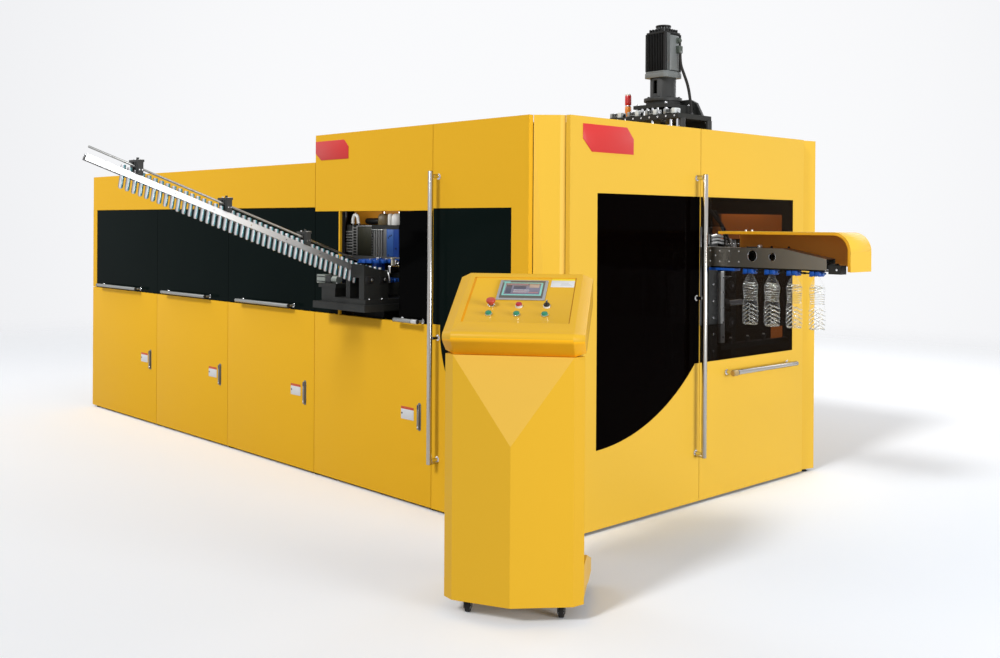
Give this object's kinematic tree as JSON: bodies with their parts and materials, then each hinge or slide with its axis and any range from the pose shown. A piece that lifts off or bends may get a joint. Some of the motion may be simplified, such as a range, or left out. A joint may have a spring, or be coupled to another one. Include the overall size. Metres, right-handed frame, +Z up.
{
  "type": "blow moulding machine",
  "caption": "Linear stretch blow moulding machine with a sloping preform rail, enclosed oven and clamp, bottle outfeed beam and a separate control console.",
  "frame": {"origin": "on the floor, under the middle of the whole object's bounding box", "axes": "+Z up; +X along the machine, out of the end where bottles leave; -Y out of the long side where preforms come in"},
  "size_m": [6.485, 4.2274, 2.851],
  "materials": {
    "yellow_paint": "smooth semi-gloss powder coat",
    "frame_paint": "grey satin paint",
    "dark_glass": "dark tinted, polished",
    "smoked_glass": "smoked brown, polished",
    "stainless": "brushed",
    "steel": "ground",
    "chrome": "polished",
    "rail_alu": "bright drawn",
    "mould_alu": "milled",
    "black_steel": "black oxide, satin",
    "clear_pet": "clear",
    "blue_plastic": "moulded blue",
    "motor_black": "black satin",
    "black_rubber": "matt",
    "lamp_red": "glossy",
    "red_plastic": "glossy",
    "green_plastic": "glossy",
    "black_plastic": "matt",
    "hmi_grey": "matt bezel"
  },
  "bodies": {
    "machine": {"machine_frame": "frame_paint", "levelling_feet": "black_steel", "roof_panels": "yellow_paint", "fascia_panels": "yellow_paint", "infeed_glass": "dark_glass", "left_end_panel": "yellow_paint", "back_panels": "yellow_paint", "corner_columns": "yellow_paint", "infeed_rail": "rail_alu", "guide_rod": "black_steel", "preforms": "clear_pet", "infeed_unit": "black_steel", "infeed_works": "black_steel", "oven_modules": "stainless", "clamp_frame": "steel", "roof_bracket": "black_steel", "blow_valves": "chrome", "servo_motor": "motor_black", "motor_cable": "black_rubber", "stack_light": "lamp_red", "outfeed_beam": "stainless", "outfeed_hood": "yellow_paint"},
    "lower_door_1": {"lower_door_1": "yellow_paint"},
    "latch_1": {"door_latch_1": "chrome"},
    "lower_door_2": {"lower_door_2": "yellow_paint"},
    "latch_2": {"door_latch_2": "chrome"},
    "lower_door_3": {"lower_door_3": "yellow_paint"},
    "latch_3": {"door_latch_3": "chrome"},
    "lower_door_4": {"lower_door_4": "yellow_paint"},
    "latch_4": {"door_latch_4": "chrome"},
    "window_1": {"window_1": "dark_glass"},
    "window_2": {"window_2": "dark_glass"},
    "window_3": {"window_3": "dark_glass"},
    "window_4": {"window_4": "dark_glass"},
    "tall_door": {"tall_door": "yellow_paint", "tall_door_glass": "dark_glass"},
    "end_left_door": {"end_left_door": "yellow_paint", "end_left_glass": "smoked_glass"},
    "end_right_door": {"end_right_door": "yellow_paint", "end_right_glass": "smoked_glass"},
    "star_wheel": {"star_wheel": "blue_plastic"},
    "mould_front": {"mould_front": "mould_alu"},
    "mould_rear": {"mould_rear": "mould_alu"},
    "stretch_carriage": {"stretch_carriage": "steel"},
    "gripper": {"gripper_bar": "blue_plastic", "bottles": "clear_pet"},
    "console": {"console_column": "yellow_paint", "console_head": "yellow_paint", "console_hmi": "hmi_grey"},
    "fork_left": {"caster_fork_left": "chrome"},
    "wheel_left": {"caster_wheel_left": "black_rubber"},
    "fork_right": {"caster_fork_right": "chrome"},
    "wheel_right": {"caster_wheel_right": "black_rubber"},
    "rear_wheels": {"caster_wheels_rear": "black_rubber"},
    "emergency_stop": {"emergency_stop": "red_plastic"},
    "red_button": {"red_button": "red_plastic"},
    "green_button_1": {"green_button_1": "green_plastic"},
    "green_button_2": {"green_button_2": "green_plastic"},
    "green_button_3": {"green_button_3": "green_plastic"},
    "selector_switch": {"selector_switch": "black_plastic"}
  },
  "joints": [
    {"name": "lower_door_1_hinge", "type": "hinge", "parent": "machine", "child": "lower_door_1", "pos_m": [-3.233, -0.422, 0.53], "axis": [0, 0, -1], "range_deg": [0, 105]},
    {"name": "latch_1_turn", "type": "hinge", "parent": "lower_door_1", "child": "latch_1", "pos_m": [-2.107, -0.422, 0.514], "axis": [0, 1, 0], "range_deg": [0, 90]},
    {"name": "lower_door_2_hinge", "type": "hinge", "parent": "machine", "child": "lower_door_2", "pos_m": [-2, -0.422, 0.53], "axis": [0, 0, -1], "range_deg": [0, 105]},
    {"name": "latch_2_turn", "type": "hinge", "parent": "lower_door_2", "child": "latch_2", "pos_m": [-0.987, -0.422, 0.514], "axis": [0, 1, 0], "range_deg": [0, 90]},
    {"name": "lower_door_3_hinge", "type": "hinge", "parent": "machine", "child": "lower_door_3", "pos_m": [-0.88, -0.422, 0.53], "axis": [0, 0, -1], "range_deg": [0, 105]},
    {"name": "latch_3_turn", "type": "hinge", "parent": "lower_door_3", "child": "latch_3", "pos_m": [0.12, -0.422, 0.514], "axis": [0, 1, 0], "range_deg": [0, 90]},
    {"name": "lower_door_4_hinge", "type": "hinge", "parent": "machine", "child": "lower_door_4", "pos_m": [0.227, -0.422, 0.53], "axis": [0, 0, -1], "range_deg": [0, 105]},
    {"name": "latch_4_turn", "type": "hinge", "parent": "lower_door_4", "child": "latch_4", "pos_m": [1.294, -0.422, 0.514], "axis": [0, 1, 0], "range_deg": [0, 90]},
    {"name": "window_1_flap", "type": "hinge", "parent": "machine", "child": "window_1", "pos_m": [-2.5785, -0.422, 1.711], "axis": [-1, 0, 0], "range_deg": [0, 80]},
    {"name": "window_2_flap", "type": "hinge", "parent": "machine", "child": "window_2", "pos_m": [-1.442, -0.422, 1.711], "axis": [-1, 0, 0], "range_deg": [0, 80]},
    {"name": "window_3_flap", "type": "hinge", "parent": "machine", "child": "window_3", "pos_m": [-0.3285, -0.422, 1.711], "axis": [-1, 0, 0], "range_deg": [0, 80]},
    {"name": "window_4_flap", "type": "hinge", "parent": "machine", "child": "window_4", "pos_m": [1.2475, -0.422, 1.687], "axis": [-1, 0, 0], "range_deg": [0, 80]},
    {"name": "tall_door_hinge", "type": "hinge", "parent": "machine", "child": "tall_door", "pos_m": [2.164, -0.422, 1.1], "axis": [0, 0, 1], "range_deg": [0, 90]},
    {"name": "end_left_door_hinge", "type": "hinge", "parent": "machine", "child": "end_left_door", "pos_m": [2.312, -0.273, 1.1], "axis": [0, 0, -1], "range_deg": [0, 90]},
    {"name": "end_right_door_hinge", "type": "hinge", "parent": "machine", "child": "end_right_door", "pos_m": [2.312, 1.957, 1.1], "axis": [0, 0, 1], "range_deg": [0, 100]},
    {"name": "star_wheel_spin", "type": "hinge", "parent": "machine", "child": "star_wheel", "pos_m": [0.62, -0.21, 1.32], "axis": [0, 0, 1], "continuous": true},
    {"name": "mould_front_slide", "type": "slide", "parent": "machine", "child": "mould_front", "axis": [0, -1, 0], "range_m": [0, 0.12]},
    {"name": "mould_rear_slide", "type": "slide", "parent": "machine", "child": "mould_rear", "axis": [0, 1, 0], "range_m": [0, 0.12]},
    {"name": "stretch_stroke", "type": "slide", "parent": "machine", "child": "stretch_carriage", "axis": [0, 0, -1], "range_m": [0, 0.28]},
    {"name": "transfer_stroke", "type": "slide", "parent": "machine", "child": "gripper", "axis": [-1, 0, 0], "range_m": [0, 0.14]},
    {"name": "console_roll", "type": "slide", "parent": "machine", "child": "console", "axis": [0.6115, -0.7912, 0], "range_m": [0, 0.6]},
    {"name": "fork_left_swivel", "type": "hinge", "parent": "console", "child": "fork_left", "pos_m": [2.71431, -1.31355, 0.06], "axis": [0, 0, 1], "continuous": true},
    {"name": "wheel_left_roll", "type": "hinge", "parent": "fork_left", "child": "wheel_left", "pos_m": [2.70452, -1.3009, 0.025], "axis": [0.7912, 0.6115, 0], "continuous": true},
    {"name": "fork_right_swivel", "type": "hinge", "parent": "console", "child": "fork_right", "pos_m": [3.02289, -1.07506, 0.06], "axis": [0, 0, 1], "continuous": true},
    {"name": "wheel_right_roll", "type": "hinge", "parent": "fork_right", "child": "wheel_right", "pos_m": [3.0131, -1.0624, 0.025], "axis": [0.7912, 0.6115, 0], "continuous": true},
    {"name": "rear_wheels_roll", "type": "hinge", "parent": "console", "child": "rear_wheels", "pos_m": [2.62704, -0.88177, 0.025], "axis": [0.7912, 0.6115, 0], "continuous": true},
    {"name": "emergency_stop_press", "type": "slide", "parent": "console", "child": "emergency_stop", "axis": [-0.269, 0.3481, -0.898], "range_m": [0, 0.005]},
    {"name": "red_button_press", "type": "slide", "parent": "console", "child": "red_button", "axis": [-0.269, 0.3481, -0.898], "range_m": [0, 0.003], "stiffness_N_per_m": 600, "springref_m": -0.004},
    {"name": "green_button_1_press", "type": "slide", "parent": "console", "child": "green_button_1", "axis": [-0.269, 0.3481, -0.898], "range_m": [0, 0.003], "stiffness_N_per_m": 600, "springref_m": -0.004},
    {"name": "green_button_2_press", "type": "slide", "parent": "console", "child": "green_button_2", "axis": [-0.269, 0.3481, -0.898], "range_m": [0, 0.003], "stiffness_N_per_m": 600, "springref_m": -0.004},
    {"name": "green_button_3_press", "type": "slide", "parent": "console", "child": "green_button_3", "axis": [-0.269, 0.3481, -0.898], "range_m": [0, 0.003], "stiffness_N_per_m": 600, "springref_m": -0.004},
    {"name": "selector_turn", "type": "hinge", "parent": "console", "child": "selector_switch", "pos_m": [2.91114, -1.05475, 1.26887], "axis": [0.269, -0.3481, 0.898], "range_deg": [-45, 45]}
  ],
  "couplings": [
    {"joint": "mould_rear_slide", "follows": "mould_front_slide", "ratio": 1}
  ]
}
